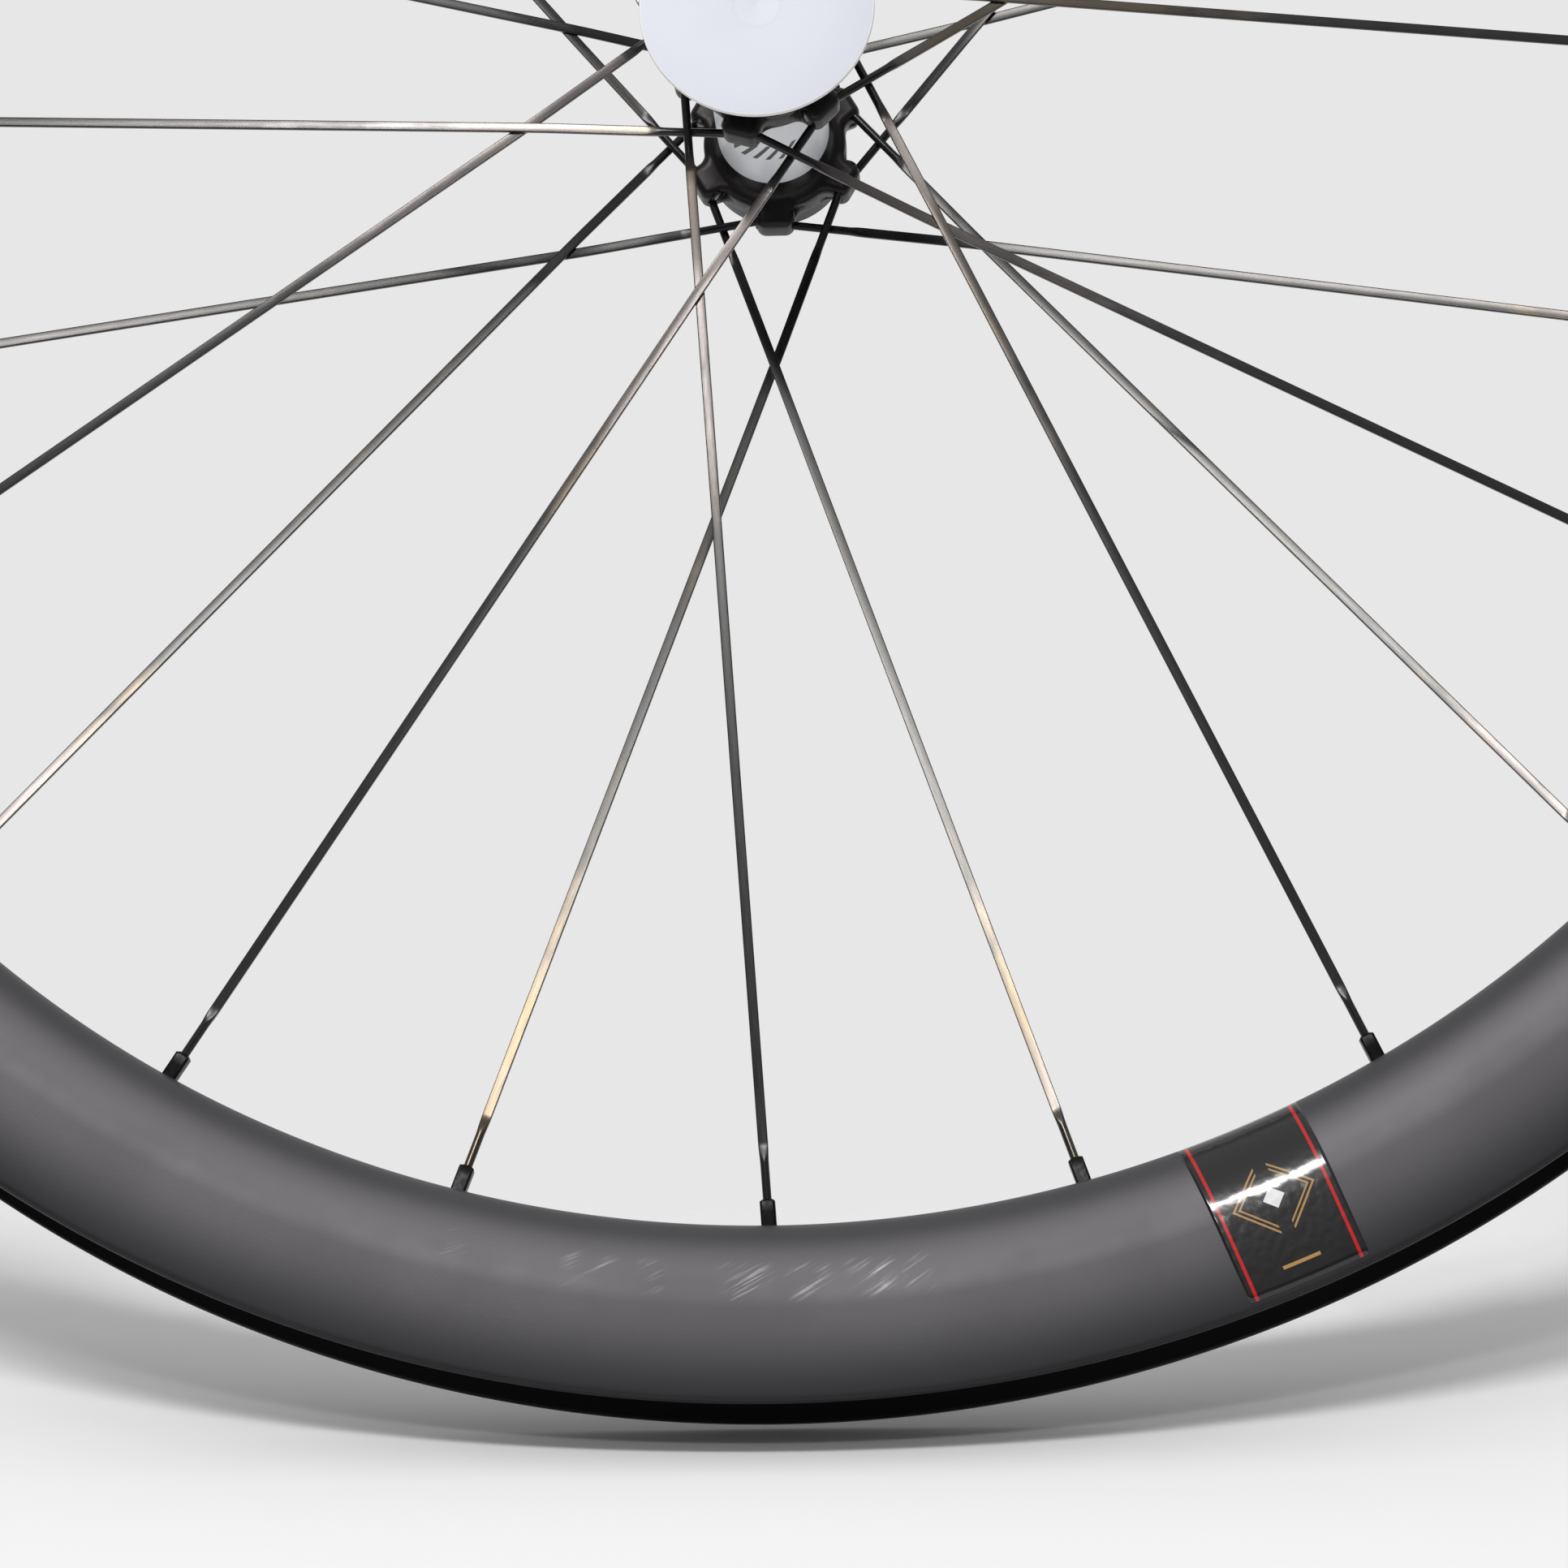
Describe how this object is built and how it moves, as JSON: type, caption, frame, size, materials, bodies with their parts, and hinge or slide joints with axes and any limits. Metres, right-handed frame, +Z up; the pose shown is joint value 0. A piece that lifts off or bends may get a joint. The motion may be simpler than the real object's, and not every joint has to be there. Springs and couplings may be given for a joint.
{
  "type": "bicycle wheel",
  "caption": "Front bicycle wheel for a disc brake: deep carbon rim laced with crossed flat-bladed straight-pull spokes to a star-flanged thru-axle hub that turns on sealed bearings.",
  "frame": {"origin": "wheel centre: on the axle line, in the middle plane of the rim", "axes": "+Y along the axle from the rotor side to the other side, +Z up towards the valve hole, +X to the right as seen from the rotor side"},
  "size_m": [0.6329, 0.1036, 0.633],
  "materials": {
    "carbon_rim": "satin clear coat on carbon",
    "hub_black": "black anodised",
    "band_silver": "silver film",
    "nipple_black": "black anodised",
    "spoke_black": "black oxide",
    "axle_alloy": "turned",
    "bearing_steel": "ground",
    "seal_rubber": "matt",
    "cap_black": "black anodised",
    "protector_plastic": "milky translucent"
  },
  "bodies": {
    "axle_set": {"axle": "axle_alloy", "near_inner_race": "bearing_steel", "far_inner_race": "bearing_steel", "near_end_cap": "cap_black", "far_end_cap": "cap_black", "near_dust_seal": "seal_rubber", "far_dust_seal": "seal_rubber", "axle_end_protector": "protector_plastic"},
    "wheel": {"rim": "carbon_rim", "hub_shell": "hub_black", "barrel_band": "band_silver", "near_nipples": "nipple_black", "far_nipples": "nipple_black", "near_outer_race": "bearing_steel", "far_outer_race": "bearing_steel", "near_bearing_shields": "seal_rubber", "far_bearing_shields": "seal_rubber", "near_spoke_01": "spoke_black", "near_spoke_02": "spoke_black", "near_spoke_03": "spoke_black", "near_spoke_04": "spoke_black", "near_spoke_05": "spoke_black", "near_spoke_06": "spoke_black", "near_spoke_07": "spoke_black", "near_spoke_08": "spoke_black", "near_spoke_09": "spoke_black", "near_spoke_10": "spoke_black", "near_spoke_11": "spoke_black", "near_spoke_12": "spoke_black", "far_spoke_01": "spoke_black", "far_spoke_02": "spoke_black", "far_spoke_03": "spoke_black", "far_spoke_04": "spoke_black", "far_spoke_05": "spoke_black", "far_spoke_06": "spoke_black", "far_spoke_07": "spoke_black", "far_spoke_08": "spoke_black", "far_spoke_09": "spoke_black", "far_spoke_10": "spoke_black", "far_spoke_11": "spoke_black", "far_spoke_12": "spoke_black"}
  },
  "joints": [
    {"name": "wheel_spin", "type": "hinge", "parent": "axle_set", "child": "wheel", "pos_m": [0, 0, 0], "axis": [0, 1, 0], "continuous": true}
  ]
}
